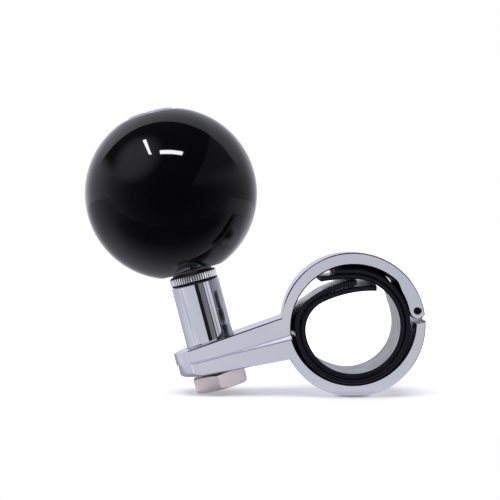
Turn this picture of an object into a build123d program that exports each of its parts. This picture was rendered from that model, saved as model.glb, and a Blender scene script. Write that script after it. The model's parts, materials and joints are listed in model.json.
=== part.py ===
from build123d import *
import os
from math import acos, asin, atan2, cos, degrees, hypot, radians, sin, sqrt, tan

# Steering wheel spinner knob, in millimetres: a ball that spins on a post, a
# two-jaw clamp for the wheel rim, and two rubber strips that line the clamp.
# The whole lies on a table as it was photographed: the ring of the clamp and
# the lower left edge of the nut touch the table at Z = 0, the ring is at the
# right (+X), and the bore of the clamp runs along Y.

# Ball
ball_diameter = 54.0
ball_flat_diameter = 19.6
badge_diameter = 14.7
badge_thickness = 1.2
badge_clearance = 0.1
insert_diameter = 11.0
insert_flange_diameter = 12.6
insert_flange_thickness = 0.6
insert_length = 13.0
insert_clearance = 0.02

# Knurled ring and washer, screwed on the spindle under the ball
knurl_diameter = 15.3
knurl_thickness = 2.1
knurl_count = 60
knurl_depth = 0.28
knurl_edge = 0.22
washer_diameter = 14.2
washer_thickness = 0.5

# Spindle
thread_diameter = 8.0
thread_clearance = 0.02
thread_engagement = 11.0
collar_diameter = 9.2
journal_diameter = 6.0
spindle_tail = 2.1
clip_thickness = 0.7
clip_groove_depth = 0.35
clip_gap = 0.05
spindle_clip_diameter = 8.4
spin_gap = 0.7

# Ball bearings
bearing_outside = 13.0
bearing_width = 5.0
race_outside = 7.6
race_inside = 11.2
race_groove_clearance = 0.03
bearing_ball_diameter = 2.0
bearing_ball_count = 8
cage_thickness = 0.9
cage_width = 2.6
cage_pocket_clearance = 0.06
shield_thickness = 0.3
shield_clearance = 0.15
shield_recess = 0.15
bearing_spacing = 1.5
spacer_thickness = 0.7
bearing_fit = 0.01
journal_fit = 0.01

# Post
post_diameter = 15.3
post_length = 19.7
post_edge = 0.35
post_floor = 4.0
post_seat = 3.8
post_seat_clearance = 0.12
post_relief_diameter = 11.0
housing_clip_recess = 0.6
housing_clip_width = 1.1

# Stud and nut
stud_diameter = 10.0
stud_fit = 0.02
stud_edge = 0.6
stud_recess = 0.4
nut_across_flats = 16.0
nut_turn = 30.0
nut_height = 4.9
nut_face_diameter = 15.5
nut_chamfer_angle = 30.0
nut_running_clearance = 0.04
nut_seat_clearance = 0.03

# Jaws: ring, arms and hinge
clamp_width = 20.0
ring_diameter = 44.3
ring_reach = 44.2
ring_drop = 1.1
jaw_wall = 3.8
bore_offset = 0.95
jaw_edge = 0.35
upper_arm_thickness = 4.72
upper_arm_slope = 4.6
lower_arm_thickness = 4.73
lower_arm_slope = 4.19
upper_nose_overhang = 2.2
lower_nose_overhang = 1.8
lower_nose_fillet = 1.3
contact_length = 6.4
upper_relief_angle = 2.0
lower_relief_angle = 1.3
upper_stud_hole = 10.4
lower_stud_hole = 11.6
pin_inset = 2.1
pin_drop = 0.86
pin_diameter = 2.0
pin_ear_clearance = 0.03
pin_knuckle_clearance = 0.06
pin_recess = 0.9
pin_hole_edge = 0.25
ear_radius = 2.54
ear_land_angle = 6.3
land_corner_radius = 3.0
knuckle_width = 6.6
knuckle_side_gap = 0.2
knuckle_radius = 2.4
knuckle_top_gap = 0.4
neck_inner = 2.25
shoulder_drop = 3.55

# Rubber strips: each runs round the ring and laps at the top. The radii of a
# strip's curl, tail and end are given as multiples of its round's radius.
strip_width = 24.0
strip_thickness = 1.55
strip_gap = 0.05
strip_edge = 0.4
strip_clearance = 0.75
strip_shift_x = -0.42
strip_shift_z = -0.2
strip_end_angle = 75.1
outer_open_angle = 165.0
outer_curl = 0.5706
outer_curl_angle = 51.9
outer_tail = 1.676
outer_tail_angle = 31.9
outer_end = 4.458
outer_end_turn = 4.35
inner_open_angle = 177.9
inner_curl = 0.6732
inner_curl_angle = 77.6
inner_tail = 2.351
inner_tail_clearance = 0.12
inner_end = 3.81
inner_end_turn = 9.88

# Heights along the stud axis, from the plane where the two arms meet
post_top = post_seat + post_length
knurl_base = post_top + spin_gap
washer_base = knurl_base + knurl_thickness
flange_base = washer_base + washer_thickness
ball_flat = flange_base + insert_flange_thickness
ball_radius = ball_diameter / 2
ball_centre = ball_flat + sqrt(ball_radius**2 - (ball_flat_diameter / 2) ** 2)
insert_top = flange_base + insert_length
spindle_top = flange_base + thread_engagement
housing_clip_top = post_top - housing_clip_recess
upper_bearing = housing_clip_top - clip_thickness - bearing_width
lower_bearing = upper_bearing - bearing_spacing - bearing_width
collar_base = upper_bearing + bearing_width
spindle_bottom = lower_bearing - spindle_tail
cavity_floor = post_seat + post_floor
spindle_clip_top = lower_bearing - clip_gap
nut_top = -(
    lower_arm_thickness
    + nut_face_diameter / 2 * tan(radians(lower_arm_slope))
    + nut_seat_clearance
)
nut_bottom = nut_top - nut_height
stud_top = cavity_floor - stud_edge / 2
stud_bottom = nut_bottom + stud_recess

# Ring, hinge and arms in the side view: x to the right along the arms, z up
ring_radius = ring_diameter / 2
bore_radius = ring_radius - jaw_wall + bore_offset
ring_x = ring_reach
ring_z = -ring_drop
pin_x = ring_x + ring_radius - pin_inset
pin_z = ring_z - pin_drop
shoulder_z = pin_z - shoulder_drop
strip_outside = ring_radius - jaw_wall - strip_clearance
strip_bore = strip_outside - 2 * strip_thickness - strip_gap
strip_x = ring_x + strip_shift_x
strip_z = ring_z + strip_shift_z
past = 2 * ring_diameter
upper_nose_radius = clamp_width / 2 + upper_nose_overhang
lower_nose_radius = clamp_width / 2 + lower_nose_overhang

# The tilt at which ring and nut both touch the table, and where that puts them
lean_run = ring_x + nut_face_diameter / 2
lean_rise = ring_z - nut_bottom
tilt = asin(ring_radius / hypot(lean_run, lean_rise)) - atan2(lean_rise, lean_run)
origin_z = ring_radius - ring_x * sin(tilt) - ring_z * cos(tilt)
left_x = -ball_centre * sin(tilt) - ball_radius
right_x = ring_x * cos(tilt) - ring_z * sin(tilt) + ring_radius
origin_x = -(left_x + right_x) / 2
along_arms = (cos(tilt), 0, sin(tilt))
up_stud = (-sin(tilt), 0, cos(tilt))
STUD = Plane(origin=(origin_x, 0, origin_z), x_dir=along_arms, z_dir=up_stud)
SIDE = Plane(origin=(origin_x, 0, origin_z), x_dir=along_arms, z_dir=(0, -1, 0))
SPIN = Axis((origin_x, 0, origin_z), up_stud)
STRIP = Plane(
    origin=SIDE.from_local_coords((strip_x, strip_z, 0)), x_dir=along_arms, z_dir=(0, -1, 0)
)

os.makedirs("parts", exist_ok=True)


def save(piece, name):
    """Label a finished piece and write it."""
    piece.part.label = name
    export_step(piece.part, f"parts/{name}.step")


def turned(points):
    """A closed profile of (radius, height) corners, turned about the stud axis."""
    with BuildPart() as piece:
        with BuildSketch(SIDE):
            with BuildLine():
                Polyline(*points, close=True)
            make_face()
        revolve(axis=SPIN)
    return piece


def upper_split(x):
    """Height of the upper jaw's underside."""
    return max(0, x - contact_length) * tan(radians(upper_relief_angle))


def lower_split(x):
    """Height of the lower jaw's top."""
    return -max(0, x - contact_length) * tan(radians(lower_relief_angle))


def arm_top(x):
    """Height of the upper arm's top."""
    return upper_arm_thickness + x * tan(radians(upper_arm_slope))


def arm_bottom(x):
    """Height of the lower arm's underside."""
    return -lower_arm_thickness - x * tan(radians(lower_arm_slope))


# Ball, with its flat, the bore for the insert and the recess for the badge
badge_radius = badge_diameter / 2
badge_height = sqrt(ball_radius**2 - badge_radius**2)
with BuildPart() as ball_knob:
    with BuildSketch(SIDE):
        with Locations((0, ball_centre)):
            Circle(ball_radius)
        with Locations((0, ball_flat)):
            Rectangle(past, past, align=(Align.CENTER, Align.MAX), mode=Mode.SUBTRACT)
            Rectangle(past, past, align=(Align.MIN, Align.MIN), mode=Mode.INTERSECT)
    revolve(axis=SPIN)
    with BuildSketch(STUD.offset(ball_flat)):
        Circle(insert_diameter / 2 + insert_clearance)
    extrude(amount=insert_top - ball_flat + insert_clearance, mode=Mode.SUBTRACT)
    with BuildSketch(STUD.offset(ball_centre + badge_height - badge_thickness)):
        Circle(badge_radius + badge_clearance)
    extrude(amount=ball_radius, mode=Mode.SUBTRACT)
save(ball_knob, "ball_knob")

# Badge, domed to the ball's own radius
with BuildPart() as ball_badge:
    with BuildSketch(SIDE):
        with Locations((0, ball_centre)):
            Circle(ball_radius)
        with Locations((0, ball_centre + badge_height - badge_thickness)):
            Rectangle(badge_radius, past, align=(Align.MIN, Align.MIN), mode=Mode.INTERSECT)
    revolve(axis=SPIN)
save(ball_badge, "ball_badge")

# Brass insert, its flange under the ball
thread_bore = thread_diameter / 2 + thread_clearance
ball_insert = turned(
    (
        (thread_bore, flange_base),
        (insert_flange_diameter / 2, flange_base),
        (insert_flange_diameter / 2, ball_flat),
        (insert_diameter / 2, ball_flat),
        (insert_diameter / 2, insert_top),
        (0, insert_top),
        (0, spindle_top + insert_flange_thickness),
        (thread_bore, spindle_top + insert_flange_thickness),
    )
)
save(ball_insert, "ball_insert")

insert_washer = turned(
    (
        (thread_bore, washer_base),
        (washer_diameter / 2, washer_base),
        (washer_diameter / 2, flange_base),
        (thread_bore, flange_base),
    )
)
save(insert_washer, "insert_washer")

# Knurled ring: a round groove for each flute, then both rims turned down
knurl_radius = knurl_diameter / 2
knurl_rim = knurl_radius - knurl_edge
with BuildPart() as knurled_ring:
    with BuildSketch(STUD.offset(knurl_base)):
        Circle(knurl_radius)
        with PolarLocations(knurl_radius, knurl_count):
            Circle(knurl_depth, mode=Mode.SUBTRACT)
        Circle(thread_bore, mode=Mode.SUBTRACT)
    extrude(amount=knurl_thickness)
    with BuildSketch(SIDE):
        with BuildLine():
            Polyline(
                (0, knurl_base),
                (knurl_rim, knurl_base),
                (knurl_radius, knurl_base + knurl_edge),
                (knurl_radius, washer_base - knurl_edge),
                (knurl_rim, washer_base),
                (0, washer_base),
                close=True,
            )
        make_face()
    revolve(axis=SPIN, mode=Mode.INTERSECT)
save(knurled_ring, "knurled_ring")

# Spindle: thread, collar, journal and the groove for its clip
journal_radius = journal_diameter / 2
groove_radius = journal_radius - clip_groove_depth
spindle_clip_base = spindle_clip_top - clip_thickness
spindle = turned(
    (
        (0, spindle_bottom),
        (groove_radius, spindle_bottom),
        (journal_radius, spindle_bottom + clip_groove_depth),
        (journal_radius, spindle_clip_base - clip_gap),
        (groove_radius, spindle_clip_base - clip_gap),
        (groove_radius, spindle_clip_top + clip_gap),
        (journal_radius, spindle_clip_top + clip_gap),
        (journal_radius, collar_base),
        (collar_diameter / 2, collar_base),
        (collar_diameter / 2, knurl_base),
        (thread_diameter / 2, knurl_base),
        (thread_diameter / 2, spindle_top - clip_groove_depth),
        (thread_diameter / 2 - clip_groove_depth, spindle_top),
        (0, spindle_top),
    )
)
save(spindle, "spindle")

# Clip round the spindle, with its open side
with BuildPart() as spindle_clip:
    with BuildSketch(STUD.offset(spindle_clip_base)):
        Circle(spindle_clip_diameter / 2)
        Circle(groove_radius + clip_gap, mode=Mode.SUBTRACT)
        Rectangle(past, journal_radius, align=(Align.MIN, Align.CENTER), mode=Mode.SUBTRACT)
    extrude(amount=clip_thickness)
save(spindle_clip, "spindle_clip")

# Post: bearing bore, relief under the bearings and the tapped floor
post_radius = post_diameter / 2
bearing_bore = bearing_outside / 2 + bearing_fit
housing_groove = bearing_bore + clip_groove_depth
housing_clip_base = housing_clip_top - clip_thickness
post_housing = turned(
    (
        (stud_diameter / 2 + stud_fit, post_seat),
        (post_radius, post_seat),
        (post_radius, post_top - post_edge),
        (post_radius - post_edge, post_top),
        (bearing_bore, post_top),
        (bearing_bore, housing_clip_top + clip_gap),
        (housing_groove, housing_clip_top + clip_gap),
        (housing_groove, housing_clip_base),
        (bearing_bore, housing_clip_base),
        (bearing_bore, lower_bearing),
        (post_relief_diameter / 2, lower_bearing),
        (post_relief_diameter / 2, cavity_floor),
        (stud_diameter / 2 + stud_fit, cavity_floor),
    )
)
save(post_housing, "post_housing")

# Clip inside the post, with its open side
with BuildPart() as housing_clip:
    with BuildSketch(STUD.offset(housing_clip_base)):
        Circle(housing_groove - clip_gap)
        Circle(housing_groove - clip_gap - housing_clip_width, mode=Mode.SUBTRACT)
        Rectangle(past, journal_radius, align=(Align.MIN, Align.CENTER), mode=Mode.SUBTRACT)
    extrude(amount=clip_thickness)
save(housing_clip, "housing_clip")

# Two ball bearings
bearing_radius = bearing_outside / 2
race_bore = journal_radius + journal_fit
pitch_radius = (race_outside + race_inside) / 4
ball_groove = bearing_ball_diameter / 2 + race_groove_clearance
cage_pocket = bearing_ball_diameter / 2 + cage_pocket_clearance


def race(inner, outer, base):
    """One race: a ring between two radii with the track of the balls turned out of it."""
    with BuildPart() as piece:
        with BuildSketch(SIDE):
            with Locations((inner, base)):
                Rectangle(outer - inner, bearing_width, align=(Align.MIN, Align.MIN))
            with Locations((pitch_radius, base + bearing_width / 2)):
                Circle(ball_groove, mode=Mode.SUBTRACT)
        revolve(axis=SPIN)
    return piece


for place, base in (("upper", upper_bearing), ("lower", lower_bearing)):
    middle = base + bearing_width / 2
    save(race(race_inside / 2, bearing_radius, base), f"{place}_bearing_outer_race")
    save(race(race_bore, race_outside / 2, base), f"{place}_bearing_inner_race")

    with BuildPart() as balls:
        with Locations(STUD.offset(middle)):
            with PolarLocations(pitch_radius, bearing_ball_count):
                Sphere(bearing_ball_diameter / 2)
    save(balls, f"{place}_bearing_balls")

    with BuildPart() as cage:
        with BuildSketch(STUD.offset(middle - cage_width / 2)):
            Circle(pitch_radius + cage_thickness / 2)
            Circle(pitch_radius - cage_thickness / 2, mode=Mode.SUBTRACT)
        extrude(amount=cage_width)
        for pocket in range(bearing_ball_count):
            turn = Rotation(0, 0, pocket * 360 / bearing_ball_count)
            with BuildSketch(Plane(STUD.offset(middle).location * turn * Rotation(0, 90, 0))):
                Circle(cage_pocket)
            extrude(amount=pitch_radius + cage_thickness, mode=Mode.SUBTRACT)
    save(cage, f"{place}_bearing_cage")

    with BuildPart() as shields:
        for height in (
            base + shield_recess,
            base + bearing_width - shield_recess - shield_thickness,
        ):
            with BuildSketch(STUD.offset(height)):
                Circle(race_inside / 2)
                Circle(race_outside / 2 + shield_clearance, mode=Mode.SUBTRACT)
            extrude(amount=shield_thickness)
    save(shields, f"{place}_bearing_shields")

bearing_spacer = turned(
    (
        (bearing_radius - spacer_thickness, lower_bearing + bearing_width),
        (bearing_radius, lower_bearing + bearing_width),
        (bearing_radius, upper_bearing),
        (bearing_radius - spacer_thickness, upper_bearing),
    )
)
save(bearing_spacer, "bearing_spacer")

race_spacer = turned(
    (
        (race_bore, lower_bearing + bearing_width),
        (race_bore + spacer_thickness, lower_bearing + bearing_width),
        (race_bore + spacer_thickness, upper_bearing),
        (race_bore, upper_bearing),
    )
)
save(race_spacer, "race_spacer")

# Stud, fixed in the floor of the post and passed through both arms
stud_radius = stud_diameter / 2
clamp_stud = turned(
    (
        (0, stud_bottom),
        (stud_radius - stud_edge, stud_bottom),
        (stud_radius, stud_bottom + stud_edge),
        (stud_radius, stud_top - stud_edge),
        (stud_radius - stud_edge, stud_top),
        (0, stud_top),
    )
)
save(clamp_stud, "clamp_stud")

# Nut, chamfered on both faces, one corner to the front
nut_circle = nut_across_flats / sqrt(3)
nut_face = nut_face_diameter / 2
nut_fall = (nut_circle - nut_face) * tan(radians(nut_chamfer_angle))
with BuildPart() as clamp_nut:
    with BuildSketch(STUD.offset(nut_bottom)):
        RegularPolygon(nut_circle, 6, rotation=nut_turn)
        Circle(stud_radius + nut_running_clearance, mode=Mode.SUBTRACT)
    extrude(amount=nut_height)
    with BuildSketch(SIDE):
        with BuildLine():
            Polyline(
                (0, nut_bottom),
                (nut_face, nut_bottom),
                (nut_circle, nut_bottom + nut_fall),
                (nut_circle, nut_top - nut_fall),
                (nut_face, nut_top),
                (0, nut_top),
                close=True,
            )
        make_face()
    revolve(axis=SPIN, mode=Mode.INTERSECT)
save(clamp_nut, "clamp_nut")

# Inner edge of the hinge end of the upper jaw: a straight land tangent to the ear
land_foot = (
    pin_x - ear_radius * cos(radians(ear_land_angle)),
    pin_z - ear_radius * sin(radians(ear_land_angle)),
)
land_top = (
    land_foot[0] - past * sin(radians(ear_land_angle)),
    land_foot[1] + past * cos(radians(ear_land_angle)),
)
with BuildSketch() as upper_bore:
    with Locations((ring_x, ring_z - bore_offset)):
        Circle(bore_radius)
    with BuildLine():
        Polyline(
            land_foot,
            land_top,
            (ring_x + past, land_top[1]),
            (ring_x + past, land_foot[1]),
            close=True,
        )
    make_face(mode=Mode.SUBTRACT)
    fillet(upper_bore.vertices().sort_by(Axis.Y)[-1], radius=land_corner_radius)
    with Locations((pin_x, pin_z)):
        Circle(ear_radius, mode=Mode.SUBTRACT)


def nose_plan(radius):
    """Plan of an arm: its end is rounded about the stud."""
    with BuildSketch(STUD) as plan:
        Circle(radius)
        Rectangle(past, clamp_width, align=(Align.MIN, Align.CENTER))
        Rectangle(2 * past, clamp_width, mode=Mode.INTERSECT)
    return plan


pin_hole = pin_diameter / 2 + pin_ear_clearance
with BuildPart() as upper_jaw:
    with BuildSketch(SIDE):
        with Locations((ring_x, ring_z)):
            Circle(ring_radius)
        with BuildLine():
            Polyline(
                (0, upper_split(0)),
                (contact_length, upper_split(contact_length)),
                (ring_x, upper_split(ring_x)),
                (ring_x, pin_z),
                (ring_x + past, pin_z),
                (ring_x + past, -past),
                (0, -past),
                close=True,
            )
        make_face(mode=Mode.SUBTRACT)
        with Locations((pin_x, pin_z)):
            Circle(ear_radius)
        with Locations((ring_x, ring_z)):
            Circle(ring_radius, mode=Mode.INTERSECT)
        with BuildLine():
            Polyline(
                (-upper_nose_radius, 0),
                (contact_length, 0),
                (ring_x, upper_split(ring_x)),
                (ring_x, arm_top(ring_x)),
                (-upper_nose_radius, arm_top(-upper_nose_radius)),
                close=True,
            )
        make_face()
        add(upper_bore.sketch, mode=Mode.SUBTRACT)
    extrude(amount=clamp_width / 2, both=True)
    extrude(nose_plan(upper_nose_radius).sketch, amount=past, both=True, mode=Mode.INTERSECT)
    sides = upper_jaw.faces().filter_by(Axis.Y).group_by(Axis.Y)
    chamfer((sides[0] + sides[-1]).edges(), length=jaw_edge)
    with BuildSketch(STUD.offset(post_seat)):
        Circle(post_radius + post_seat_clearance)
    extrude(amount=past, mode=Mode.SUBTRACT)
    with BuildSketch(STUD):
        Circle(upper_stud_hole / 2)
    extrude(amount=past, mode=Mode.SUBTRACT)
    with BuildSketch(SIDE):
        with Locations((pin_x, pin_z)):
            Circle(knuckle_radius + knuckle_top_gap)
            Rectangle(4 * ear_radius, 2 * ear_radius, align=(Align.CENTER, Align.MAX))
    extrude(amount=knuckle_width / 2 + knuckle_side_gap, both=True, mode=Mode.SUBTRACT)
    with BuildSketch(SIDE):
        with Locations((pin_x, pin_z)):
            Circle(pin_hole)
    extrude(amount=clamp_width, both=True, mode=Mode.SUBTRACT)
    circles = upper_jaw.edges().filter_by(GeomType.CIRCLE)
    rims = circles.filter_by(lambda rim: round(rim.radius - pin_hole, 6) == 0).group_by(Axis.Y)
    chamfer(rims[0] + rims[-1], length=pin_hole_edge)
save(upper_jaw, "upper_jaw")

with BuildPart() as lower_jaw:
    with BuildSketch(SIDE):
        with Locations((ring_x, ring_z)):
            Circle(ring_radius)
        with BuildLine():
            Polyline(
                (0, lower_split(0)),
                (contact_length, lower_split(contact_length)),
                (ring_x, lower_split(ring_x)),
                (ring_x, shoulder_z),
                (ring_x + past, shoulder_z),
                (ring_x + past, past),
                (0, past),
                close=True,
            )
        make_face(mode=Mode.SUBTRACT)
        with BuildLine():
            Polyline(
                (-lower_nose_radius, 0),
                (contact_length, 0),
                (ring_x, lower_split(ring_x)),
                (ring_x, arm_bottom(ring_x)),
                (-lower_nose_radius, arm_bottom(-lower_nose_radius)),
                close=True,
            )
        make_face()
        with Locations((ring_x, ring_z + bore_offset)):
            Circle(bore_radius, mode=Mode.SUBTRACT)
    extrude(amount=clamp_width / 2, both=True)
    extrude(nose_plan(lower_nose_radius).sketch, amount=past, both=True, mode=Mode.INTERSECT)
    nose = lower_jaw.faces().filter_by(GeomType.CYLINDER).sort_by(Axis.X)[0]
    fillet(nose.edges().sort_by(Axis.Z)[0], radius=lower_nose_fillet)
    sides = lower_jaw.faces().filter_by(Axis.Y).group_by(Axis.Y)
    chamfer((sides[0] + sides[-1]).edges(), length=jaw_edge)
    with BuildSketch(STUD.offset(-past)):
        Circle(lower_stud_hole / 2)
    extrude(amount=past, mode=Mode.SUBTRACT)
    with BuildSketch(SIDE):
        with BuildLine():
            Polyline(
                (pin_x - neck_inner, pin_z),
                (pin_x + past, pin_z),
                (pin_x + past, shoulder_z - ear_radius),
                (pin_x - neck_inner, shoulder_z - ear_radius),
                close=True,
            )
        make_face()
        with Locations((pin_x, pin_z)):
            Circle(knuckle_radius)
        with Locations((ring_x, ring_z)):
            Circle(ring_radius, mode=Mode.INTERSECT)
    extrude(amount=knuckle_width / 2, both=True)
    with BuildSketch(SIDE):
        with Locations((pin_x, pin_z)):
            Circle(pin_diameter / 2 + pin_knuckle_clearance)
    extrude(amount=clamp_width, both=True, mode=Mode.SUBTRACT)
save(lower_jaw, "lower_jaw")

with BuildPart() as hinge_pin:
    with BuildSketch(SIDE):
        with Locations((pin_x, pin_z)):
            Circle(pin_diameter / 2)
    extrude(amount=clamp_width / 2 - pin_recess, both=True)
save(hinge_pin, "hinge_pin")


def strip_side(mid, offset, shape):
    """One long edge of a strip, offset from its middle line: the free end at the
    right hand lap, the round, then the curl and the tail of the other end."""
    open_angle, curl, curl_angle, tail, tail_angle, end, end_turn = shape
    radius = mid + offset
    angle = radians(strip_end_angle)
    start = Vector(radius * cos(angle), radius * sin(angle))
    ahead = Vector(-sin(angle), cos(angle))
    free_end = JernArc(start, ahead, end * mid + offset, end_turn)
    round_arc = CenterArc((0, 0), radius, strip_end_angle, open_angle - strip_end_angle - 360)
    curl_arc = JernArc(round_arc @ 1, round_arc % 1, curl * mid + offset, -curl_angle)
    tail_arc = JernArc(curl_arc @ 1, curl_arc % 1, tail * mid + offset, -tail_angle)
    return free_end @ 1, tail_arc @ 1


def strip(inside, shape):
    """A rubber strip whose round part has this inner radius."""
    mid = inside + strip_thickness / 2
    with BuildPart() as piece:
        with BuildSketch(STRIP):
            with BuildLine():
                first = strip_side(mid, strip_thickness / 2, shape)
                second = strip_side(mid, -strip_thickness / 2, shape)
                Line(first[0], second[0])
                Line(first[1], second[1])
            make_face()
        extrude(amount=strip_width / 2, both=True)
        rims = piece.faces().filter_by(Axis.Y).edges()
        long_rims = rims.filter_by(lambda rim: rim.length > strip_thickness + strip_edge)
        fillet(long_rims, radius=strip_edge)
    return piece


def tail_angle_to(inside, reach, open_angle, curl, curl_angle, tail):
    """The angle at which the outer edge of a tail is this far from the strip's centre."""
    mid = inside + strip_thickness / 2
    leave = radians(open_angle - curl_angle)
    out = (mid - curl * mid) * cos(radians(open_angle)) + (curl - tail) * mid * cos(leave)
    up = (mid - curl * mid) * sin(radians(open_angle)) + (curl - tail) * mid * sin(leave)
    edge = tail * mid + strip_thickness / 2
    away = hypot(out, up)
    spread = acos((reach**2 - away**2 - edge**2) / (2 * edge * away))
    return degrees(leave - atan2(up, out) - spread)


outer_strip = strip(
    strip_outside - strip_thickness,
    (
        outer_open_angle,
        outer_curl,
        outer_curl_angle,
        outer_tail,
        outer_tail_angle,
        outer_end,
        outer_end_turn,
    ),
)
save(outer_strip, "outer_strip")

# The inner strip's tail ends just short of the inside of its own round
inner_tail_angle = tail_angle_to(
    strip_bore,
    strip_bore - inner_tail_clearance,
    inner_open_angle,
    inner_curl,
    inner_curl_angle,
    inner_tail,
)
inner_strip = strip(
    strip_bore,
    (
        inner_open_angle,
        inner_curl,
        inner_curl_angle,
        inner_tail,
        inner_tail_angle,
        inner_end,
        inner_end_turn,
    ),
)
save(inner_strip, "inner_strip")
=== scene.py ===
import json
import math

import bmesh
import bpy
import numpy as np
from mathutils import Matrix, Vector
from bpy.props import FloatProperty, FloatVectorProperty, IntProperty, PointerProperty

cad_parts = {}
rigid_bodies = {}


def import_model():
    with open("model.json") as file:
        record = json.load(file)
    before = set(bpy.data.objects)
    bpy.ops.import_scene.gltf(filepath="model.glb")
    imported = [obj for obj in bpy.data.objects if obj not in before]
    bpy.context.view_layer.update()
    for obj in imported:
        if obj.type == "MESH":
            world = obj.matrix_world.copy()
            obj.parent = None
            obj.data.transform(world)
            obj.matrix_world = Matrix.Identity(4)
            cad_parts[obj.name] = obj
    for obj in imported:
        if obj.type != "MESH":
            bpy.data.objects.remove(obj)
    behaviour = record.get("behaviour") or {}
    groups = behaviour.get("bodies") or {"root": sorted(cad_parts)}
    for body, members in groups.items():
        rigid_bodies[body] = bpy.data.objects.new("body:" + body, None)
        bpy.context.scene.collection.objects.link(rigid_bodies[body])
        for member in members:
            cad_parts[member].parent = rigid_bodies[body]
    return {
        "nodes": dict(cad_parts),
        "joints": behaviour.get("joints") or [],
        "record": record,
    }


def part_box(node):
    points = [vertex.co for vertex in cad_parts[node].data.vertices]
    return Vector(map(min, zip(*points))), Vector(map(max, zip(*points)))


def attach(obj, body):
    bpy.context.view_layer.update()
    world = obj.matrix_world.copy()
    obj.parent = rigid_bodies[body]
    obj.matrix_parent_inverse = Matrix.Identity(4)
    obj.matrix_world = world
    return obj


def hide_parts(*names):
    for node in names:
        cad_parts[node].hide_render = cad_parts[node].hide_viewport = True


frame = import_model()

bl_info = {
    "name": "Steering wheel spinner knob",
    "version": (1, 0, 0),
    "blender": (4, 5, 0),
    "location": "View3D > Sidebar > Spinner Knob",
    "description": "Finishes a ball knob on a hinged ring clamp, lined with rubber, on a lit table",
    "category": "Object",
}

MM = 0.001
FULL_TURN = 2 * math.pi
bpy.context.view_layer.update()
JOINTS = {joint["name"]: joint for joint in frame["joints"]}
DEPTH = np.array((0.0, 1.0, 0.0))

# The stud axis: its foot is where the two arms meet, and it leans with the ring on the table
FOOT = np.array(JOINTS["knob_spin"]["pos_m"])
UP = np.array(JOINTS["knob_spin"]["axis"]) / np.linalg.norm(JOINTS["knob_spin"]["axis"])
ALONG = np.cross(DEPTH, UP)
PIN = np.array(JOINTS["jaw_open"]["pos_m"])

# How deep the ball's bore goes into its spindle, and the play round the badge and over the post
BURIED = 0.1 * MM
PLAY = 0.1 * MM

# Share of the strips' flare at angles round the ring, in degrees: the bore leaves room for it there
FLARE_ANGLES = (0, 12, 25, 40, 60, 79, 95, 135, 150, 180, 205, 230, 360)
FLARE_SHARES = (0, 0.1, 0.7, 1.2, 1.2, 0.7, 0, 0, 0.55, 0.75, 0.7, 0.2, 0)

# Brightness of the surroundings at the level of the table, from the front at -1 to the back at 1
SURROUNDINGS = (
    (-1.0, 0.014), (-0.6, 0.06), (-0.26, 0.18), (0.0, 0.31), (0.3, 0.42), (0.6, 0.52), (0.93, 1.0),
)

# Colours of the plating at a glancing angle, of the painted warm sheen on its turned face, and of the
# painted shade in the bore and under the hinge
CHROME_EDGE = (0.76, 0.76, 0.83)
# Painted sheen: a pale warm plating colour that stands in for the turned face's highlights
PAINTED_SHEEN = (0.86, 0.83, 0.835)
# Painted shade inside the bore: a near black base colour and a darkened specular tint
BORE_PAINTED_SHADE = (0.02, 0.02, 0.024)
BORE_PAINTED_SHADE_TINT = (0.03, 0.03, 0.035)
HINGE_SHADE = (0.1, 0.11, 0.15)

# Colours of the small pieces
BADGE_RIM = (0.8, 0.85, 1.0)
# Painted shade in the knurl's flute roots
FLUTE_ROOT_PAINTED_SHADE = (0.12, 0.12, 0.13)
FLUTE_CREST = (0.93, 0.935, 0.97)
SEAL_RUBBER = (0.012, 0.012, 0.014)
WASHER_BROWN = (0.06, 0.036, 0.02)
PIN_DARK = (0.02, 0.013, 0.014)
CUT_RUBBER = (0.62, 0.54, 0.57)
RUBBER_EDGE = (0.94, 0.87, 1.0)
RACE_STEEL = (0.70, 0.70, 0.72)
INSERT_BRONZE = (0.12, 0.08, 0.04)
CAGE_MOULDING = (0.50, 0.43, 0.30)

# Colours of the lamps
WHITE = (1.0, 1.0, 1.0)
COOL = (0.91, 0.91, 1.0)
WARM = (1.0, 0.96, 0.97)
BLUEISH = (0.8, 0.82, 1.0)


def corners_of(node):
    """All corner points of a CAD node, as one array."""
    mesh = frame["nodes"][node].data
    points = np.zeros(len(mesh.vertices) * 3, np.float32)
    mesh.vertices.foreach_get("co", points)
    return points.reshape(-1, 3).astype(float)


def on_stud(points):
    """Radius and height of points about the stud axis."""
    away = points - FOOT
    height = away @ UP
    radius = np.linalg.norm(away - height[:, None] * UP, axis=1)
    return radius, height


def heights_of(node):
    """Lowest and highest height of a node along the stud axis."""
    height = on_stud(corners_of(node))[1]
    return height.min(), height.max()


def radius_of(node):
    """Largest radius of a node about the stud axis."""
    return on_stud(corners_of(node))[0].max()


def ring_of(node):
    """Smallest and largest radius of a node about the stud axis, and its lowest and highest height."""
    radius, height = on_stud(corners_of(node))
    return radius.min(), radius.max(), height.min(), height.max()


# Sizes that the frame gives
BALL_LOW, BALL_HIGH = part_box("ball_knob")
BALL_RADIUS = (BALL_HIGH.y - BALL_LOW.y) / 2
BALL_CENTRE = (BALL_LOW.x + BALL_RADIUS - FOOT[0]) / UP[0]
RING_CENTRE = np.array(frame["record"]["mounts"][0]["pos_m"])
RING_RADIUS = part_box("lower_jaw")[1].x - RING_CENTRE[0]


def a_length(name, description, default, least=0.0):
    """A setting for a size."""
    return FloatProperty(name=name, description=description, unit="LENGTH", min=least, default=default)


def a_place(name, description, default):
    """A setting for a place along an axis."""
    return FloatProperty(name=name, description=description, unit="LENGTH", default=default)


def an_angle(name, description, degrees):
    """A setting for an angle."""
    return FloatProperty(name=name, description=description, subtype="ANGLE", default=math.radians(degrees))


def a_share(name, description, default):
    """A setting from 0 to 1."""
    return FloatProperty(name=name, description=description, min=0, max=1, default=default)


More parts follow.
